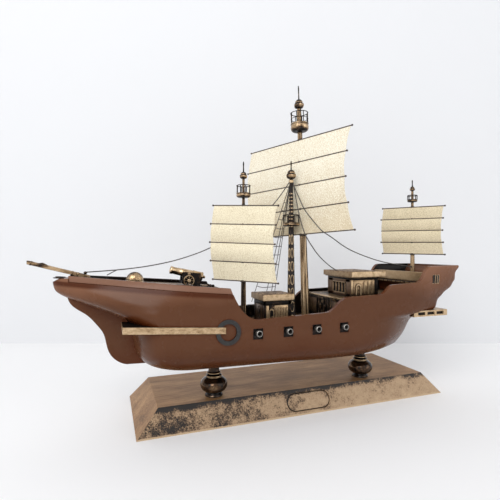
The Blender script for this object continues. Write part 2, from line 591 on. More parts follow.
# ---------------------------------------------------------------- midship cabin
# A small deckhouse cast in brass and waxed: corner posts, a low door, close upright ribs along
# its sides and an oval boss in front, under a thick overhanging lid with corner blocks.
CABIN_FRONT, CABIN_BACK, CABIN_HALF, CABIN_FLOOR, CABIN_TALL = -45.5, -17.0, 14.2, 88.5, 22.4
LID_HALF, LID_OUT, LID_TALL = 16.5, 2.3, 6.4
RIB_STEPS, DOOR_STEPS = 9, 8
MIDSHIP_RIBS = {"start": -34.6, "end": -20.6, "low": 3.4, "high": 15.6, "count": 5, "proud": 0.6,
                "wave": 0.25}
MIDSHIP_DOOR = {"middle": -38.0, "low": 1.5, "wide": 5.0, "tall": 13.6, "proud": 0.55}
SIDE_PANEL_FROM, POST, BOSS_UP, BOSS_RIM = -34.8, 2.2, 10.5, 4.2
BOSS = ((0, -0.2), (2.6, -0.2), (2.4, 0.3), (1.2, 0.6), (0, 0.7))
FRONT_POSTS, FRONT_PANELS = (-9.6, 9.6), ((-8.6, 8.6), (-12.0, -10.6), (10.6, 12.0))
wall_brass = patina("wall_brass", 0.6, 260, reach=0.005, even=0.45, fore=0.95)
cabin_black = patina("cabin_black", 0.37, 240, reach=0.004)
lid_brass = patina("lid_brass", 0.66, 260, rough=0.55, reach=0.003, top=0.18, fore=0.5, metal=0.3)
lid_brass.node_tree.nodes["Principled BSDF"].inputs["Specular IOR Level"].default_value = 0.2


def side_frame(x, side, height, way):
    """A place on a wall that faces port (way -1) or starboard: X along, Z up, Y out of the wall."""
    return spot(x, side, height) @ Matrix.Diagonal((1, way, 1, 1))


def ribs(mesh, place, start, end, low, high, count, proud, wave):
    """Upright wavy ribs standing proud of a wall, evenly spaced between two ends."""
    pitch = (end - start) / count
    wide = pitch * 0.3
    for number in range(count):
        middle = start + (number + 0.5) * pitch
        rows = []
        for step in range(RIB_STEPS + 1):
            up = low + (high - low) * step / RIB_STEPS
            sway = wave * math.sin(step * 1.7 + number)
            rows.append([mesh.verts.new(place @ Vector(corner)) for corner in (
                (middle - wide + sway, -0.3, up), (middle - wide * 0.6 + sway, proud, up),
                (middle + wide * 0.6 + sway, proud, up), (middle + wide + sway, -0.3, up))])
        for one, two in zip(rows, rows[1:]):
            band(mesh, one, two)
        mesh.faces.new(rows[0][::-1])
        mesh.faces.new(rows[-1])


def arch_door(mesh, place, middle, low, wide, tall, proud):
    """An arched door's raised surround, with a ring handle hung inside it."""
    outline = [(-wide / 2, 0.0), (-wide / 2, tall - wide / 2)]
    for step in range(1, DOOR_STEPS):
        angle = math.pi - math.pi * step / DOOR_STEPS
        outline.append((wide / 2 * math.cos(angle), tall - wide / 2 + wide / 2 * math.sin(angle)))
    outline += [(wide / 2, tall - wide / 2), (wide / 2, 0.0)]
    inner = [(x * 0.72, z * 0.86 + 0.2) for x, z in outline]
    rings = []
    for points, out in ((outline, -0.3), (outline, proud), (inner, proud), (inner, -0.3)):
        rings.append([mesh.verts.new(place @ Vector((middle + x, out, low + z))) for x, z in points])
    for one, two in zip(rings, rings[1:] + rings[:1]):
        for a in range(len(one) - 1):
            mesh.faces.new((one[a], one[a + 1], two[a + 1], two[a]))
    for end in (0, -1):
        mesh.faces.new([ring[end] for ring in rings][::(1 if end == 0 else -1)])
    hoop(mesh, place @ Matrix.Translation((middle + wide * 0.16, 0.35, low + tall * 0.42))
         @ Matrix.Rotation(math.pi / 2, 4, "X"), 0.55, 0.16)


def hoop(mesh, place, radius, thick, steps=20):
    """A thin round hoop lying in the XY plane of its place."""
    turned(mesh, place, [(radius + thick * math.cos(n * math.pi / 4), thick * math.sin(n * math.pi / 4))
                         for n in range(8)], steps, True)


core, skin, ship, top = bmesh.new(), bmesh.new(), spot(0, 0, CABIN_FLOOR), CABIN_TALL
bar(core, ship, (CABIN_FRONT + 0.5, -CABIN_HALF + 0.5, 0.05),
    (CABIN_BACK - 0.5, CABIN_HALF - 0.5, top), 0.2)
for side in (-CABIN_HALF, CABIN_HALF - POST):
    bar(core, ship, (CABIN_BACK - 3.0, side, 0.05), (CABIN_BACK, side + POST, top), 0.25)
    bar(core, ship, (CABIN_FRONT, side, 0.05), (CABIN_FRONT + 1.6, side + POST, top), 0.25)
bar(core, ship, (CABIN_FRONT, -CABIN_HALF, top - 4.2), (CABIN_BACK, CABIN_HALF, top), 0.25)
bar(core, ship, (CABIN_FRONT - 0.1, -CABIN_HALF - 0.1, 0.05),
    (CABIN_BACK + 0.1, CABIN_HALF + 0.1, 1.2), 0.25)
for way in (-1, 1):
    wall = side_frame(0, way * (CABIN_HALF - 0.5), CABIN_FLOOR, way)
    bar(skin, wall, (CABIN_FRONT + 1.9, -0.3, 1.3), (CABIN_FRONT + 4.6, 0.5, top - 4.4), 0.2)
    bar(skin, wall, (SIDE_PANEL_FROM, -0.3, 1.3), (CABIN_BACK - 3.2, 0.2, top - 4.4), 0.2)
    ribs(skin, wall, **MIDSHIP_RIBS)
    arch_door(skin, wall, **MIDSHIP_DOOR)
face = spot(CABIN_FRONT + 0.45, 0, CABIN_FLOOR + BOSS_UP, -90) @ Matrix.Diagonal((1.35, 1, 1, 1))
hoop(core, face, BOSS_RIM, 0.55, 32)
turned(core, face, BOSS, 24)
for side in FRONT_POSTS:
    bar(core, ship, (CABIN_FRONT, side - 0.7, 1.2), (CABIN_FRONT + 1, side + 0.7, top), 0.2)
placed("midship_deckhouse", core, cabin_black, "dark_bronze", "midship_cabin")
for low, high in FRONT_PANELS:
    bar(skin, ship, (CABIN_FRONT + 0.1, low, 1.4), (CABIN_FRONT + 0.6, high, top - 4.4), 0.2)
placed("midship_wall_panels", skin, wall_brass, "dark_bronze")

mesh = bmesh.new()
ship = spot(0, 0, CABIN_FLOOR + CABIN_TALL)
bar(mesh, ship, (CABIN_FRONT - LID_OUT, -LID_HALF, 0.5),
    (CABIN_BACK + LID_OUT, LID_HALF, LID_TALL), 0.5, 3)
bar(mesh, ship, (CABIN_FRONT - 1.2, -LID_HALF + 1.1, 0.02),
    (CABIN_BACK + 1.2, LID_HALF - 1.1, 1.2), 0.2)
for x in (CABIN_FRONT - LID_OUT - 0.12, CABIN_BACK + LID_OUT - 2.9):
    for side in (-LID_HALF - 0.12, LID_HALF - 2.9):
        bar(mesh, ship, (x, side, 0.6), (x + 3.02, side + 3.02, LID_TALL - 0.5), 0.3)
placed("midship_lid", mesh, lid_brass, "antique_brass", "midship_cabin_roof")

# ---------------------------------------------------------------- aft cabin
# The captain's cabin on the half deck, cast in brass and waxed: corner strips, an arched side
# door with three ribs beside it, a barred window in front, and a broad roof with end blocks.
AFT_FRONT, AFT_BACK, AFT_HALF, AFT_FLOOR, AFT_TALL = 47.0, 80.5, 22.5, 112.6, 19.2
ROOF_FRONT, ROOF_BACK, ROOF_HALF, ROOF_TALL = 44.6, 86.0, 27.7, 6.6
WINDOW_HALF, WINDOW_LOW, WINDOW_HIGH, WINDOW_BAR, UPRIGHTS = 12.0, 2.3, 14.5, 0.9, 5
AFT_RIBS = {"start": 60.8, "end": 75.4, "low": 2.0, "high": 14.6, "count": 3, "proud": 0.55,
            "wave": 0.15}
AFT_DOOR = {"middle": 55.8, "low": 1.25, "wide": 6.4, "tall": 11.6, "proud": 1.0}
AFT_PANEL_FROM, AFT_PANEL_TO, AFT_POST = 50.2, 76.2, 2.4
core, skin, ship, top = bmesh.new(), bmesh.new(), spot(0, 0, AFT_FLOOR), AFT_TALL - 0.02
bar(core, ship, (AFT_FRONT + 2.0, -AFT_HALF + 0.5, 0.05), (AFT_BACK, AFT_HALF - 0.5, top), 0.2)
for side in (-AFT_HALF, AFT_HALF - AFT_POST):
    bar(core, ship, (AFT_BACK - 3.6, side, 0.05), (AFT_BACK, side + AFT_POST, top), 0.25)
    bar(skin, ship, (AFT_FRONT, side, 0.05), (AFT_FRONT + 2.8, side + AFT_POST, top - 2.0), 0.25)
bar(core, ship, (AFT_FRONT + 0.2, -AFT_HALF, top - 2.2), (AFT_BACK, AFT_HALF, top), 0.25)
for low, high in (((-AFT_HALF + 0.2, 0.05), (AFT_HALF - 0.2, WINDOW_LOW - 0.05)),
                  ((-AFT_HALF + 0.2, WINDOW_HIGH + 0.05), (AFT_HALF - 0.2, top - 2.0)),
                  ((-AFT_HALF + 0.2, 0.1), (-WINDOW_HALF - 0.1, top - 2.1)),
                  ((WINDOW_HALF + 0.1, 0.1), (AFT_HALF - 0.2, top - 2.1))):
    bar(skin, ship, (AFT_FRONT + 0.3, low[0], low[1]), (AFT_FRONT + 2.2, high[0], high[1]), 0.15)
for way in (-1, 1):
    wall = side_frame(0, way * (AFT_HALF - 0.5), AFT_FLOOR, way)
    bar(skin, wall, (AFT_PANEL_FROM, -0.3, 0.1), (AFT_PANEL_TO, 0.15, top - 2.4), 0.15)
    ribs(skin, wall, **AFT_RIBS)
placed("aft_cabin_core", core, cabin_black, "dark_bronze", "aft_cabin")
placed("aft_cabin_walls", skin, wall_brass, "dark_bronze")
mesh = bmesh.new()
for way in (-1, 1):
    arch_door(mesh, side_frame(0, way * (AFT_HALF - 0.3), AFT_FLOOR, way), **AFT_DOOR)
placed("aft_cabin_doors", mesh, lid_brass, "dark_bronze", "aft_cabin_door")
mesh = bmesh.new()
outer, inner = AFT_FRONT - 0.15, AFT_FRONT + 1.5
for low in (WINDOW_LOW, WINDOW_HIGH - WINDOW_BAR):
    bar(mesh, ship, (outer, -WINDOW_HALF, low), (inner, WINDOW_HALF, low + WINDOW_BAR), 0.15)
for number in range(UPRIGHTS):
    side = -WINDOW_HALF + number * (2 * WINDOW_HALF - WINDOW_BAR) / (UPRIGHTS - 1)
    bar(mesh, ship, (outer, side, WINDOW_LOW + 0.1),
        (inner, side + WINDOW_BAR, WINDOW_HIGH - 0.1), 0.15)
placed("aft_window_bars", mesh, lid_brass, "dark_bronze", "aft_cabin_window")
mesh = bmesh.new()
bar(mesh, ship, (AFT_FRONT + 1.55, -WINDOW_HALF + 0.1, WINDOW_LOW + 0.1),
    (AFT_FRONT + 1.78, WINDOW_HALF - 0.1, WINDOW_HIGH - 0.1), 0)
placed("aft_window_dark", mesh, soot, "dark_bronze")

mesh = bmesh.new()
ship = spot(0, 0, AFT_FLOOR + AFT_TALL)
bar(mesh, ship, (ROOF_FRONT, -ROOF_HALF, 0.9), (ROOF_BACK, ROOF_HALF, ROOF_TALL), 0.5, 3)
bar(mesh, ship, (ROOF_FRONT + 1.0, -ROOF_HALF + 2.2, 0.02),
    (ROOF_BACK - 2.2, ROOF_HALF - 2.2, 1.5), 0.2)
for x in (ROOF_FRONT - 0.1, ROOF_BACK - 3.4):
    for side in (-ROOF_HALF - 0.1, ROOF_HALF - 3.3):
        bar(mesh, ship, (x, side, 1.0), (x + 3.5, side + 3.4, ROOF_TALL - 0.5), 0.3)
placed("aft_cabin_lid", mesh, lid_brass, "antique_brass", "aft_cabin_roof")

# ---------------------------------------------------------------- masts
# Three round masts of turned brass with shallow flutes, and the square rigging mast, black
# with gold ovals and rungs raised on each face. All are stepped through their decks.
KEEL, MAIN_DECK = 51.5, 37.0
MASTS = {"fore": (-62.0, 0.0, 0.0, 29.5, 183.8, 3.0, 1.2),
         "main": (6.7, 0.0, 1.97, 29.5, 262.5, 4.5, 2.1),
         "mizzen": (147.0, 0.0, 0.0, 67.0, 181.9, 2.75, 1.2),
         "rigging": (-11.5, -3.0, 0.0, 29.5, 188.0, 3.3, 1.2)}
MAST_X, MAST_SIDE, LEAN, FOOT, TOP, FOOT_RADIUS, HEAD_RADIUS = range(7)
COLLAR_UP, COLLAR_RADIUS, COLLAR_TALL = 177.5, 2.2, 3.2
OVALS_FROM, OVALS_TO, OVAL_PITCH, OVAL_TALL, OVAL_WIDE, OVAL_THICK = 38.0, 128, 13.6, 4.9, 0.64, 0.36
RUNGS_TO, RUNG_PITCH, RUNG_TALL, RUNG_WIDE = 170, 3.7, 0.55, 0.72
CORE_SHARE, CORNER_SHARE, MAST_STEPS = 0.9, 0.86, 12


def on_mast(mast, up):
    """The place on a mast's axis at a height above the keel, leaning as the mast leans."""
    x = MASTS[mast][MAST_X] - (up - MAIN_DECK) * math.tan(math.radians(MASTS[mast][LEAN]))
    return spot(x, MASTS[mast][MAST_SIDE], KEEL + up, -MASTS[mast][LEAN])


def mast_radius(mast, up):
    """A mast's radius, or half its side, at a height above the keel."""
    one = MASTS[mast]
    taper = (one[HEAD_RADIUS] - one[FOOT_RADIUS]) / (one[TOP] - one[FOOT])
    return one[FOOT_RADIUS] + taper * (up - one[FOOT])


def tapered(mesh, place, low, high, start, end):
    """A four-sided stick whose corners run from one rectangle to another along Z."""
    rings = [[mesh.verts.new(place @ Vector((x, y, z))) for x, y in
              ((box[0], box[1]), (box[2], box[1]), (box[2], box[3]), (box[0], box[3]))]
             for box, z in ((low, start), (high, end))]
    band(mesh, *rings)
    mesh.faces.new(rings[0][::-1])
    mesh.faces.new(rings[1])


def oval(mesh, place, long, wide, thick, steps=28):
    """An oval ring of round section lying in the XY plane of its place, long along X."""
    rows = []
    for step in range(steps):
        angle = 2 * math.pi * step / steps
        outward = Vector((math.cos(angle) / long, math.sin(angle) / wide, 0)).normalized()
        middle = Vector((long * math.cos(angle), wide * math.sin(angle), 0))
        rows.append([mesh.verts.new(place @ (middle + outward * thick * math.cos(n * math.pi / 4)
                                             + Vector((0, 0, thick * math.sin(n * math.pi / 4)))))
                     for n in range(8)])
    for one, two in zip(rows, rows[1:] + rows[:1]):
        band(mesh, one, two)


mast_brass = patina("mast_brass", 0.57, 420, (1, 1, 0.05), 0.34, reach=0.0015, aft=0.8, even=-0.9)
waxed_brass = patina("waxed_brass", 0.49, 420, (1, 1, 0.05), 0.34, reach=0.0015, aft=0.2, even=-0.9)
relief_gold = patina("relief_gold", 0.72, 300, rough=0.34, reach=0.0004)
for mast, flutes, finish in (("fore", 8, waxed_brass), ("main", 10, mast_brass),
                             ("mizzen", 8, mast_brass)):
    one, mesh = MASTS[mast], bmesh.new()
    rises = [(one[TOP] - one[FOOT]) * n / MAST_STEPS for n in range(MAST_STEPS + 1)]
    profile = [(mast_radius(mast, one[FOOT] + rise), rise) for rise in rises]
    turned(mesh, on_mast(mast, one[FOOT]), profile, flutes * 8, flutes=flutes, depth=0.16)
    placed(mast + "_mast_fluted", mesh, finish, "antique_brass", mast + "_mast", smooth=60)
one, mesh, gold = MASTS["rigging"], bmesh.new(), bmesh.new()
tall = one[TOP] - one[FOOT]
foot, head = one[FOOT_RADIUS] * CORE_SHARE, one[HEAD_RADIUS] * CORE_SHARE
base = on_mast("rigging", one[FOOT])
tapered(mesh, base, (-foot, -foot, foot, foot), (-head, -head, head, head), 0, tall)
for across in (-1, 1):
    for along in (-1, 1):
        rail = [sorted((sign * size, sign * size * CORNER_SHARE))
                for size in (one[FOOT_RADIUS], one[HEAD_RADIUS]) for sign in (across, along)]
        tapered(mesh, base, (rail[0][0], rail[1][0], rail[0][1], rail[1][1]),
                (rail[2][0], rail[3][0], rail[2][1], rail[3][1]), 0, tall)
low = COLLAR_UP - one[FOOT]
high = low + COLLAR_TALL
turned(gold, base, ((0, low), (COLLAR_RADIUS * 0.8, low), (COLLAR_RADIUS, low + 0.5),
                    (COLLAR_RADIUS, high - 0.5), (COLLAR_RADIUS * 0.8, high), (0, high)), 24)
for face in range(4):
    up = OVALS_FROM
    while up < RUNGS_TO:
        half = mast_radius("rigging", up)
        place = (on_mast("rigging", up) @ Matrix.Rotation(face * math.pi / 2, 4, "Z")
                 @ Matrix.Translation((half * CORE_SHARE, 0, 0)) @ Matrix.Rotation(math.pi / 2, 4, "Y"))
        if up < OVALS_TO:
            oval(gold, place, OVAL_TALL, half * OVAL_WIDE, OVAL_THICK)
            up += OVAL_PITCH
        else:
            wide = half * RUNG_WIDE
            bar(gold, place, (-RUNG_TALL, -wide, -0.2), (RUNG_TALL, wide, 0.3), 0.15)
            up += RUNG_PITCH
placed("rigging_mast_core", mesh, soot, "antique_brass", "rigging_mast")
placed("rigging_mast_relief", gold, relief_gold, "antique_brass")

# ---------------------------------------------------------------- crow's nests and finials
# On each mast a round basket of waxed brass is threaded, with a closed band below and eight
# posts to a hoop above, and its top is capped with a lobed bowl, a small lid and a spike.
NESTS = {"fore": (160.5, 7.1, 12.3, 4.5), "main": (231.9, 9.3, 19.8, 8.6),
         "mizzen": (165.1, 5.6, 8.2, 3.2), "rigging": (133.1, 8.8, 11.8, 3.7)}
NEST_WALL, NEST_HOOP, MIDDLE_HOOP, NEST_POST, NEST_POSTS = 0.9, 0.44, 0.3, 0.5, 8
FINIALS = {"fore": (3.9, 10.3), "main": (5.3, 14.5), "mizzen": (3.0, 7.7), "rigging": (5.2, 9.4)}
BOWL = ((0.0, 0.0), (0.45, 0.0), (0.72, 0.1), (0.92, 0.3), (1.0, 0.55), (0.98, 0.78), (0.86, 0.94),
        (0.66, 1.0))
LID = ((0.6, 1.0), (0.74, 1.06), (0.75, 1.22), (0.64, 1.45), (0.44, 1.66), (0.2, 1.76))
SPIKE_RADIUS = 0.7
nest_brass = patina("nest_brass", 0.55, 160, rough=0.3, reach=0.003, top=0.3, under=0.2, even=-0.3,
                    metal=0.5)
fine_bronze = patina("fine_bronze", 0.37, 300, rough=0.36)
for mast in MASTS:
    rise, radius, height, brim = NESTS[mast]
    mesh, place = bmesh.new(), on_mast(mast, rise)
    hole = mast_radius(mast, rise) * (1.5 if mast == "rigging" else 1.0)
    inside = radius - NEST_WALL
    turned(mesh, place, ((hole, 0.0), (radius * 0.62, 0.0), (radius * 0.8, brim * 0.06),
                         (radius * 0.92, brim * 0.17), (radius * 0.985, brim * 0.34),
                         (radius, brim * 0.52), (radius * 0.97, brim * 0.72),
                         (radius * 0.95, brim * 0.84), (radius, brim * 0.88), (radius, brim - 0.3),
                         (radius - 0.15, brim), (inside + 0.15, brim), (inside, brim - 0.4),
                         (inside, brim * 0.4), (radius * 0.7, NEST_WALL), (hole, NEST_WALL)), 48, True)
    thin, around, rail = bmesh.new(), radius - NEST_WALL / 2, height - NEST_WALL / 2
    hoop(thin, place @ Matrix.Translation((0, 0, rail)), around, NEST_HOOP, 48)
    if mast == "main":
        middle = brim + (height - brim) * 0.42
        hoop(thin, place @ Matrix.Translation((0, 0, middle)), around, MIDDLE_HOOP, 48)
    for number in range(NEST_POSTS):
        post = place @ Matrix.Rotation(2 * math.pi * number / NEST_POSTS, 4, "Z")
        turned(thin, post @ Matrix.Translation((around, 0, brim - 0.6)),
               ((0, 0), (NEST_POST, 0), (NEST_POST * 0.8, (height - brim) / 2),
                (NEST_POST, height - brim + 0.2), (0, height - brim + 0.2)), 10)
    placed(mast + "_basket", mesh, nest_brass, "antique_brass", mast + "_crows_nest")
    bowl, spike = FINIALS[mast]
    mesh, place = bmesh.new(), on_mast(mast, MASTS[mast][TOP] - 1.2 * bowl)
    turned(mesh, place, [(bowl * r, bowl * z) for r, z in BOWL] + [(0, bowl)], 48, flutes=8, depth=0.12)
    lid = [(bowl * r, bowl * z) for r, z in LID]
    turned(mesh, place, [(0, bowl * 0.98)] + lid + [(0, bowl * 1.78)], 32)
    low = bowl * 1.75
    turned(thin, place, [(0, bowl * 1.7), (SPIKE_RADIUS, low), (SPIKE_RADIUS * 0.8, low + spike * 0.4),
                         (SPIKE_RADIUS, low + spike * 0.75), (SPIKE_RADIUS * 0.7, low + spike - 0.7),
                         (0.1, low + spike)], 16)
    placed(mast + "_posts_and_spike", thin, fine_bronze, "antique_brass")
    placed(mast + "_bowl", mesh, nest_brass, "antique_brass", mast + "_finial", smooth=50)

# ---------------------------------------------------------------- sails
# Three junk sails of cream cloth, each one sheet with a narrow hem, lashed behind five thin
# dark battens whose parrels go round the mast. The braces hold them taut with a slight belly.
CLOTH, HEM, HEM_THICK, INSET, BATTEN, GAP = 0.4, 1.6, 0.56, 1.2, 0.55, 0.06
PANELS, ROWS, COLUMNS, SEAM, SCALLOP, RIPPLE = 4, 14, 40, 0.2, 0.35, 0.16
BULGE = (0.5, 1.0, 1.0, 0.0)
SAIL_DROP = {"main": (222.7, 22.4, 1.3, -2.3, -8.0, 1.0), "fore": (152.6, 18.5, 0.0, 2.2, -3.4, 2.0),
             "mizzen": (159.0, 13.6, 0.0, 0.6, -2.5, 1.8)}
SAIL_SPREAD = {"main": (126.0, 28.0, 1.6), "fore": (67.4, 52.0, -2.2), "mizzen": (68.8, 33.0, -0.8)}
COTTON = {"main": ((253, 247, 228), (216, 198, 164), 0.1),
          "fore": ((246, 236, 208), (212, 196, 162), 0.0),
          "mizzen": ((232, 218, 188), (196, 180, 146), 0.0)}
STAIN_FROM, STAIN_TO = 0.24, 0.165


def sail_rows(mast):
    """Rows down a sail in its own frame: middle's x, how far before the mast, height, slack."""
    top, gap, growth, offset, sweep, belly = SAIL_DROP[mast]
    lean = math.cos(math.radians(MASTS[mast][LEAN]))
    drops = [sum(gap + n * growth for n in range(number)) for number in range(PANELS + 1)]
    ups = [(top - MAIN_DECK - drop) / lean for drop in drops]
    fronts = [mast_radius(mast, top - drop) + GAP + BATTEN for drop in drops]
    rows = []
    for panel in range(PANELS):
        for step in range(ROWS + (panel == PANELS - 1)):
            share = step / ROWS
            slack = 4 * share * (1 - share)
            front = fronts[panel] + (fronts[panel + 1] - fronts[panel]) * share
            rows.append((offset + sweep * (1 - ((panel + share) / 2 - 1) ** 2),
                         front + slack * belly * BULGE[panel],
                         ups[panel] + (ups[panel + 1] - ups[panel]) * share, slack))
    return rows


def sailcloth(name, light, shade, fade):
    """Plain cotton speckled by its weave, and stained darker by fade down to its foot."""
    material, tree, main = shader(name, 0.85)
    place = add(tree, "TexCoord").outputs["Object"]
    sideways, upright = (add(tree, "TexWave", {"Vector": place}, bands_direction=way, Scale=620.0,
                             Distortion=2.0, Detail=2.0).outputs["Fac"] for way in "XZ")
    weave = sums(tree, "MULTIPLY", sums(tree, "ADD", sideways, upright), 0.5)
    slub = cloud(tree, 1100, 6, 0.7)
    tone = sums(tree, "ADD", sums(tree, "MULTIPLY", slub, 0.74), sums(tree, "MULTIPLY", weave, 0.16))
    tone = sums(tree, "ADD", tone, sums(tree, "MULTIPLY", cloud(tree, 45, 4, 0.6), 0.1))
    if fade:
        height = add(tree, "SeparateXYZ", {0: place}).outputs["Z"]
        stained = span(tree, height, STAIN_FROM, STAIN_TO)
        tone = sums(tree, "SUBTRACT", tone, sums(tree, "MULTIPLY", stained, fade))
    tree.links.new(ramp(tree, tone, (0.42, shade), (0.52, light), (0.7, light)),
                   main.inputs["Base Color"])
    main.inputs["Specular IOR Level"].default_value = 0.15
    main.inputs["Sheen Weight"].default_value = 0.15
    bump(tree, main, sums(tree, "ADD", weave, slub), 0.5, 0.0002)
    return material


wood, tree, main = shader("batten_wood", 0.6)
grain = cloud(tree, 600, 5, 0.6, (0.1, 0.1, 1))
tree.links.new(ramp(tree, grain, (0.35, (42, 34, 30)), (0.65, (88, 74, 64))), main.inputs["Base Color"])
bump(tree, main, grain, 0.3, 0.0002)
for mast, body in (("main", "root"), ("fore", "fore_sail_body"), ("mizzen", "mizzen_sail_body")):
    length, brace, tilt = SAIL_SPREAD[mast]
    place = on_mast(mast, MAIN_DECK) @ Matrix.Rotation(math.radians(brace - 90), 4, "Z")
    slope, half = math.tan(math.radians(tilt)), length / 2 - INSET
    rows, mesh = sail_rows(mast), bmesh.new()
    start, end = HEM + SEAM, 2 * half - HEM - SEAM
    columns = [0.0, HEM] + [start + (end - start) * n / COLUMNS for n in range(COLUMNS + 1)]
    columns += [2 * half - HEM, 2 * half]
    faces = [[], []]
    for sheet, out in zip(faces, (-0.5, 0.5)):
        for number, (middle, front, up, slack) in enumerate(rows):
            line = []
            for column, reach in enumerate(columns):
                x = middle - half + reach + SCALLOP * slack * (1 - reach / half)
                hem = column < 2 or column > len(columns) - 3 or number in (0, len(rows) - 1)
                ripple = RIPPLE * slack * noise.noise(Vector((x * 0.06, up * 0.05, len(mast))))
                depth = -front - ripple + (HEM_THICK if hem else CLOTH) * out + CLOTH / 2
                line.append(mesh.verts.new(place @ Vector((x, depth, up + x * slope))))
            sheet.append(line)
    high, wide = len(rows), len(columns)
    for sheet, way in zip(faces, (1, -1)):
        for one, two in zip(sheet, sheet[1:]):
            for b in range(wide - 1):
                mesh.faces.new((one[b], two[b], two[b + 1], one[b + 1])[::way])
    rim = [(0, b) for b in range(wide)] + [(a, wide - 1) for a in range(1, high)]
    rim += [(high - 1, b) for b in range(wide - 2, -1, -1)] + [(a, 0) for a in range(high - 2, 0, -1)]
    for (a, b), (c, d) in zip(rim, rim[1:] + rim[:1]):
        mesh.faces.new((faces[0][a][b], faces[0][c][d], faces[1][c][d], faces[1][a][b]))
    cotton = sailcloth(mast + "_cotton", *COTTON[mast])
    cloth = placed(mast + "_sail_cloth", mesh, cotton, "sailcloth", mast + "_sail", body=body,
                   smooth=60)
    dress(mast + "_battens", wood, body, "batten_wood", 0.1)

# ---------------------------------------------------------------- foredeck gun
# A little brass cannon on a waxed black carriage: the barrel lies in the cheeks on its
# trunnions, two spoked wheels turn on the axle, and a wedge and spare shot lie behind it.
SHEER_RISE, SHEER_FALL, SHEER_START, PLANKING = 82.2, 0.09, -218.0, 2.3
GUN_X, BARREL_UP, BARREL_TILT, BALANCE = -118.0, 11.4, 8.2, 14.0
BORE, BORE_START, TRUNNION, CHEEK_OUT = 2.0, 6.0, 1.3, 6.15
WHEEL, WHEEL_IN, WHEEL_OUT, AXLE_UP, AXLE = 5.0, 6.45, 8.15, 5.3, 1.06
HUB, SPOKES, SPOKE_HALF = 1.5, 8, 0.28
BARREL = ((0, -2.9), (0.8, -2.7), (1.4, -2.0), (1.5, -1.3), (1.1, -0.7), (2.4, -0.3), (3.9, 0.0),
          (4.35, 0.35), (4.35, 1.3), (4.0, 1.6), (4.15, 2.2), (4.08, 8.6), (4.3, 8.9), (4.3, 9.5),
          (3.9, 9.8), (3.75, 14.0), (3.6, 19.2), (3.8, 19.5), (3.8, 20.1), (3.45, 20.4),
          (3.2, 28.3), (3.5, 28.8), (3.58, 29.6), (3.58, 30.6), (3.3, 31.0), (2.2, 31.0),
          (BORE, 30.8), (BORE, BORE_START), (0, BORE_START))
WEDGE, SHOT_RADIUS = (-101.6, 4.6, 6.4, 1.7), 1.45
SHOT = ((-96.6, -3.0), (-95.4, 0.4), (-96.8, 3.4), (-93.4, -1.6))


def on_foredeck(x, side=0.0):
    """The place on the forecastle deck at x, tilted as the deck is."""
    slope = math.atan(SHEER_FALL)
    z = KEEL + SHEER_RISE - SHEER_FALL * (x - SHEER_START) + PLANKING / math.cos(slope)
    return spot(x, side, z, math.degrees(slope))


gun_brass = patina("gun_brass", 0.64, 260, rough=0.3, reach=0.003, under=0.9)
wheel_brass = patina("wheel_brass", 0.57, 300, rough=0.34, even=-0.4)
deck = on_foredeck(GUN_X)
hung = deck @ Matrix.Translation((0, 0, BARREL_UP))
aim = hung @ Matrix.Rotation(math.radians(BARREL_TILT - 90), 4, "Y")
mesh = bmesh.new()
turned(mesh, aim @ Matrix.Translation((0, 0, -BALANCE)), BARREL, 60, flutes=12, depth=0.035)
turned(mesh, hung @ Matrix.Rotation(math.pi / 2, 4, "X"),
       ((0, -CHEEK_OUT), (TRUNNION, -CHEEK_OUT), (TRUNNION, CHEEK_OUT), (0, CHEEK_OUT)), 24)
placed("cannon_barrel_turned", mesh, gun_brass, "antique_brass", "cannon_barrel",
       body="barrel_body", smooth=50)
carriage_black = patina("carriage_black", 0.38, 260, rough=0.4, reach=0.003)
dress("cannon_carriage", carriage_black, slot="antique_brass", width=0.3)
dress("cannon_axle", gun_brass, slot="antique_brass", width=0.25)
for word, way in (("port", 1), ("starboard", -1)):
    mesh = bmesh.new()
    place = deck @ Matrix.Translation((0, 0, AXLE_UP)) @ Matrix.Rotation(way * math.pi / 2, 4, "X")
    low, high = WHEEL_IN, WHEEL_OUT
    turned(mesh, place, ((WHEEL - 0.2, low), (WHEEL, low + 0.25), (WHEEL, high - 0.25),
                         (WHEEL - 0.2, high), (WHEEL - 0.7, high), (WHEEL - 0.85, high - 0.2),
                         (WHEEL - 0.85, low + 0.2), (WHEEL - 0.7, low)), 48, True)
    turned(mesh, place, ((AXLE, low), (1.6, low), (1.7, low + 0.2), (1.7, high - 0.3), (HUB, high),
                         (AXLE, high)), 32, True)
    for number in range(SPOKES):
        spoke = place @ Matrix.Rotation(2 * math.pi * number / SPOKES, 4, "Z")
        bar(mesh, spoke, (HUB, -SPOKE_HALF, low + 0.45), (WHEEL - 0.7, SPOKE_HALF, high - 0.45), 0.12)
    placed(word + "_wheel_spoked", mesh, wheel_brass, "antique_brass", word + "_wheel",
           body=word + "_wheel_body")
mesh = bmesh.new()
x, wide, long, tall = WEDGE
tapered(mesh, on_foredeck(x) @ Matrix.Rotation(math.pi / 2, 4, "X"), (-long / 2, 0.03, long / 2, tall),
        (-long / 2, 0.03, long / 2, tall), -wide / 2, wide / 2)
placed("gun_wedge", mesh, board, "deck_paint")
mesh = bmesh.new()
for x, side in SHOT:
    lies = on_foredeck(x, side) @ Matrix.Translation((0, 0, SHOT_RADIUS + 0.02))
    bmesh.ops.create_icosphere(mesh, subdivisions=3, radius=SHOT_RADIUS, matrix=lies)
placed("spare_shot", mesh, carriage_black, "antique_brass")

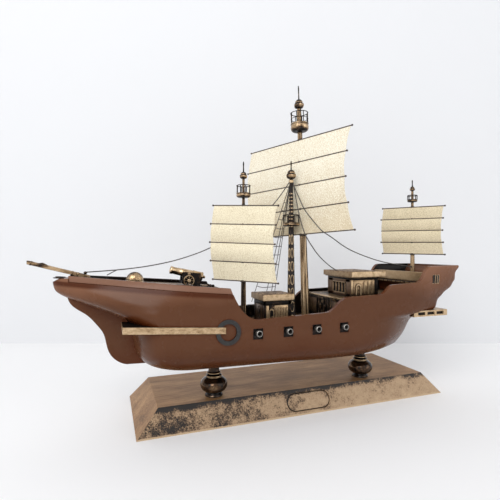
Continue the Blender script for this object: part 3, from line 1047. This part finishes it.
# ---------------------------------------------------------------- bow: bowsprit, dome, block
# A flat waxed brass bowsprit chocked on the foredeck, with a bead where the forestay ends. Cast
# loops and a foot plate sit on the beak below it, and a lobed dome and a small block behind it.
HEEL_X, HEEL_UP, STEEVE, SPAR_HALF, SPAR = -201.8, 138.5, 15.55, 2.75, 3.0
BANDS_AT, CREST_SIDES, CREST_HALF = (9.0, 13.5, 45.6), (-2.0, 2.0), 0.35
BEAK_UP, PLATE_X, BEAD_X, DOME_X = 136.8, -225.5, -205.5, -165.0
BLOCK, LOOP_SIDES = (-188.0, -2.2), (-7.0, 7.0)
CREST = ((-41.0, 0.0), (-33.5, 0.0), (-38.2, 1.0))
BEAD = ((0, -0.3), (0.9, -0.3), (0.8, 0.2), (1.3, 0.6), (1.55, 1.3), (1.3, 2.0), (0.7, 2.4), (0, 2.5))
FOOT_PLATE = ((0, 0), (1.8, 0), (1.8, 0.4), (1.2, 0.8), (0, 0.9))
DOME = ((0, 0), (9.2, 0), (9.2, 0.5), (8.6, 1.0), (8.3, 1.6), (8.1, 2.1), (7.5, 2.4), (7.45, 3.3),
        (7.1, 4.9), (6.2, 6.5), (4.9, 7.9), (3.2, 9.0), (1.4, 9.6), (0, 9.7))
bow_brass = patina("bow_brass", 0.54, 300, (0.2, 1, 1), rough=0.36, reach=0.003, under=0.7, even=-0.7)
spar = clean_copy("bowsprit")
place = spot(HEEL_X, 0, HEEL_UP, STEEVE)
for reach in BANDS_AT:
    bar(spar, place, (-reach - 1.1, -SPAR_HALF - 0.25, -SPAR - 0.25),
        (-reach, SPAR_HALF + 0.25, 0.25), 0.2)
for side in CREST_SIDES:
    ends = [[spar.verts.new(place @ Vector((x, side + thick, z))) for x, z in CREST]
            for thick in (-CREST_HALF, CREST_HALF)]
    spar.faces.new(ends[0][::-1])
    spar.faces.new(ends[1])
    band(spar, *ends)
put(rounded(piece_of("bowsprit_bar", spar, bow_brass), 0.3), "root", "antique_brass", "bowsprit")
mesh = bmesh.new()
lift = HEEL_UP + (HEEL_X - BEAD_X) * math.tan(math.radians(STEEVE))
turned(mesh, spot(BEAD_X, 0, lift), BEAD, 24)
turned(mesh, spot(PLATE_X, 0, BEAK_UP - 0.1), FOOT_PLATE, 24)
for side in LOOP_SIDES:
    hoop(mesh, spot(PLATE_X, side, BEAK_UP + 0.45, 4) @ Matrix.Diagonal((2.0, 1, 1, 1)), 1.7, 0.42, 28)
placed("bow_bead_and_loops", mesh, carriage_black, "antique_brass", "bow_fittings")
dome_brass = patina("dome_brass", 0.58, 180, rough=0.34, top=0.12, reach=0.003, even=-0.2)
mesh = bmesh.new()
turned(mesh, on_foredeck(DOME_X), DOME, 64, flutes=8, depth=0.07)
placed("dome_lobed", mesh, dome_brass, "antique_brass", "forecastle_dome", smooth=50)
mesh = bmesh.new()
deck = on_foredeck(*BLOCK)
bar(mesh, deck, (-1.6, -1.2, 0.02), (1.6, 1.2, 1.9), 0.4)
hoop(mesh, deck @ Matrix.Translation((0, 0, 2.4)) @ Matrix.Rotation(math.pi / 2, 4, "X"), 0.8, 0.3)
placed("branch_block", mesh, carriage_black, "antique_brass")

# ---------------------------------------------------------------- bitt
# A stout round post with a square head beside the far bulwark, where the foremost shroud ends.
# It is cast in one, waxed nearly black, and glued to the deck.
dress("bitt_post", carriage_black, slot="dark_bronze", width=0.35)

# ---------------------------------------------------------------- stays
# Three slack stays of dark waxed thread, tied to the square rigging mast's collar and run to the
# bowsprit, the mizzen mast and the aft cabin, and a thinner branch from the forestay down to its
# block on the foredeck.
STAY_THICK, BRANCH_THICK = 1.0, 0.8
SLATE, FIBRE = (46, 43, 42), (98, 92, 88)


def at(x, side, height):
    """A point of the ship given in millimetres, with side counted from its middle plane."""
    return Vector((x, SHIP_SIDE + side, height)) * 0.001


thread, tree, main = shader("waxed_thread", 0.65)
twist = add(tree, "TexWave", {"Vector": add(tree, "TexCoord").outputs["Object"]}, wave_type="BANDS",
            bands_direction="DIAGONAL", Scale=420.0, Distortion=1.5, Detail=1.0).outputs["Fac"]
tree.links.new(ramp(tree, twist, (0.2, SLATE), (0.8, FIBRE)), main.inputs["Base Color"])
bump(tree, main, twist, 0.6, 0.0002)
FORESTAY = ((-12.4, -3.0, 231.5), (-27.2, 1.6, 206.7), (-47.1, 7.4, 191.0), (-66.6, 13.0, 176.7),
            (-92.0, 20.5, 161.3), (-121.0, 15.8, 151.6), (-143.3, 11.5, 146.8),
            (-164.0, 8.0, 143.9), (-186.0, 3.4, 142.1), (-205.5, 0.2, 141.3))
AFT_STAY = ((-10.0, -2.0, 230.6), (-3.6, -7.4, 211.5), (-1.4, -11.7, 201.9), (2.0, -18.0, 193.4),
            (7.1, -27.6, 181.6), (9.5, -32.1, 177.4), (15.5, -34.6, 173.6), (34.5, -30.5, 163.0),
            (56.5, -24.5, 155.9), (88.4, -15.8, 148.2), (118.5, -7.3, 144.2), (146.0, -0.5, 141.0))
CABIN_STAY = ((-9.9, -4.4, 229.6), (-7.8, -10.0, 202.9), (-5.0, -14.4, 184.5), (-2.4, -16.7, 174.9),
              (2.9, -19.2, 165.0), (13.9, -13.1, 155.4), (26.2, -6.2, 148.0), (39.0, 0.5, 141.2),
              (47.5, 4.0, 138.2))
BRANCH = ((-180.0, 4.6, 142.45), (-183.5, 1.6, 140.9), (-188.0, -2.2, 138.6))


def lines(name, routes, thick, material):
    """Smooth round threads in one piece, each along its control points in millimetres."""
    curve = bpy.data.curves.new(name, "CURVE")
    curve.dimensions = "3D"
    curve.bevel_depth = thick / 2000
    curve.bevel_resolution = 4
    curve.resolution_u = 10
    curve.use_fill_caps = True
    for route in routes:
        spline = curve.splines.new("NURBS")
        spline.points.add(len(route) - 1)
        for point, place in zip(spline.points, route):
            point.co = (*at(*place), 1)
        spline.order_u = 3
        spline.use_endpoint_u = True
    made = bpy.data.objects.new(name, curve)
    bpy.context.scene.collection.objects.link(made)
    made.data.materials.append(material)
    return made


for word, route, length in (("forestay", FORESTAY, 0.2276), ("aft_stay", AFT_STAY, 0.2124),
                            ("cabin_stay", CABIN_STAY, 0.1250)):
    stay = lines(word + "_thread", [route], STAY_THICK, thread)
    put(stay, "root", "rope", word)
put(lines("branch_thread", [BRANCH], BRANCH_THICK, thread), "root", "rope")

# ---------------------------------------------------------------- shroud net
# The ladder of thinner waxed thread, knotted from the rigging mast's collar down to the bitt and
# the far bulwark: four shrouds, crossed by ten ratlines that sag a little between them.
APEX = (-11.5, -2.0, 230.6)
SHROUD_FEET = ((-40.8, 37.0, 101.0), (-23.2, 43.0, 98.5), (-16.5, 43.0, 98.8), (-12.0, 43.0, 99.0))
RATLINES = (0.16, 0.22, 0.29, 0.36, 0.43, 0.5, 0.57, 0.65, 0.74, 0.84)
SAG, NET_THICK, TOP_SHARE, FOOT_SHARE = 0.12, 0.7, 0.03, 0.975


def between(start, end, share):
    """The point a share of the way from start to end."""
    return tuple(a + (b - a) * share for a, b in zip(start, end))


ropes = [[between(APEX, foot, share) for share in (TOP_SHARE, 0.5, FOOT_SHARE)] for foot in SHROUD_FEET]
for share in RATLINES:
    knots = [between(APEX, foot, share) for foot in SHROUD_FEET]
    for one, two in zip(knots, knots[1:]):
        x, side, height = between(one, two, 0.5)
        ropes.append([one, (x, side, height - SAG * math.dist(one, two)), two])
put(lines("shroud_net_thread", ropes, NET_THICK, thread), "root", "rope", "shroud_net")
